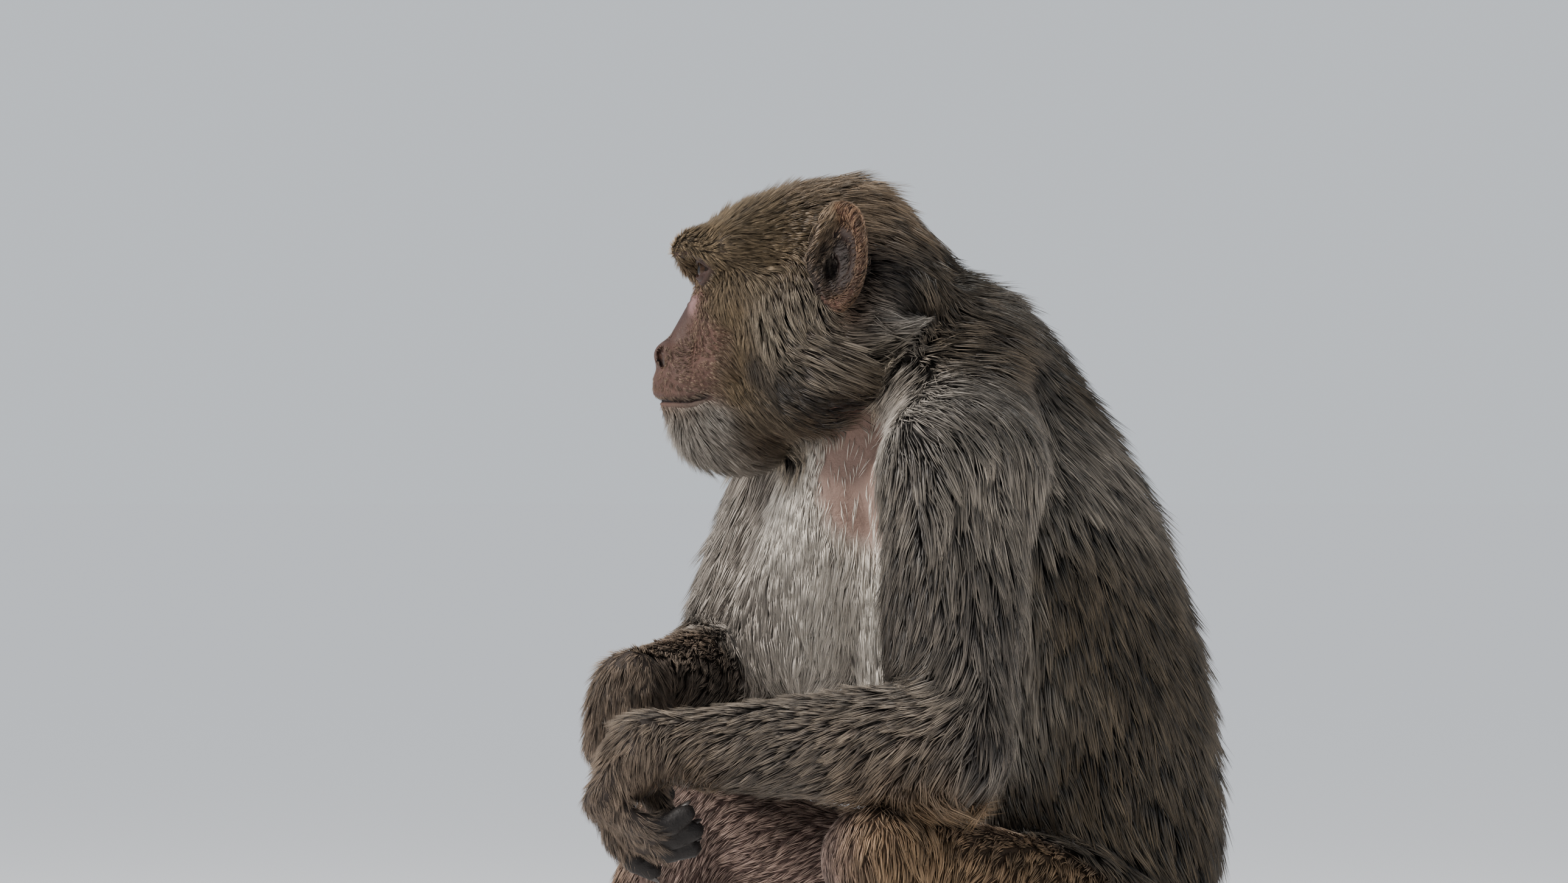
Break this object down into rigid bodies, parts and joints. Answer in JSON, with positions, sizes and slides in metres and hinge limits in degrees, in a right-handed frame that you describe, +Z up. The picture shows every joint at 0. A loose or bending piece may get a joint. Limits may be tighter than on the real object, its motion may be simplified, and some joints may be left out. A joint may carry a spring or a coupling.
{
  "type": "macaque monkey model",
  "caption": "Life-size adult male rhesus macaque, a still museum-type model: sitting with its knees up, forearms resting on them and hands hanging, head turned right, tail along the floor",
  "frame": {"origin": "on the floor, under the middle of the animal's box", "axes": "Z up; the trunk faces -Y; the animal's left side is +X"},
  "size_m": [0.3116, 0.5042, 0.5038],
  "materials": {
    "back_fur": "long coarse fur, dark grey-brown with golden tips",
    "chest_fur": "soft pale grey-white fur",
    "leg_fur": "golden tan-brown fur",
    "face_skin": "pinkish-brown bare skin with short hair",
    "dark_skin": "black skin of the palms, soles and digits under short brown fur",
    "pad_skin": "bare hard skin of the sitting pads",
    "eyeball": "wet, brown iris with a black pupil"
  },
  "bodies": {
    "root": {"ear_left": "face_skin", "ear_right": "face_skin", "eye_left": "eyeball", "eye_right": "eyeball", "face": "face_skin", "finger_left_1": "dark_skin", "finger_left_2": "dark_skin", "finger_left_3": "dark_skin", "finger_left_4": "dark_skin", "finger_left_5": "dark_skin", "finger_right_1": "dark_skin", "finger_right_2": "dark_skin", "finger_right_3": "dark_skin", "finger_right_4": "dark_skin", "finger_right_5": "dark_skin", "foot_left": "dark_skin", "foot_right": "dark_skin", "forearm_left": "back_fur", "forearm_right": "back_fur", "hand_left": "dark_skin", "hand_right": "dark_skin", "lower_jaw": "chest_fur", "neck": "back_fur", "shin_left": "leg_fur", "shin_right": "leg_fur", "sitting_pad_left": "pad_skin", "sitting_pad_right": "pad_skin", "skull": "back_fur", "tail_base": "back_fur", "tail_tip": "back_fur", "thigh_left": "leg_fur", "thigh_right": "leg_fur", "toe_left_1": "dark_skin", "toe_left_2": "dark_skin", "toe_left_3": "dark_skin", "toe_left_4": "dark_skin", "toe_left_5": "dark_skin", "toe_right_1": "dark_skin", "toe_right_2": "dark_skin", "toe_right_3": "dark_skin", "toe_right_4": "dark_skin", "toe_right_5": "dark_skin", "trunk": "back_fur", "upper_arm_left": "back_fur", "upper_arm_right": "back_fur"}
  },
  "joints": []
}
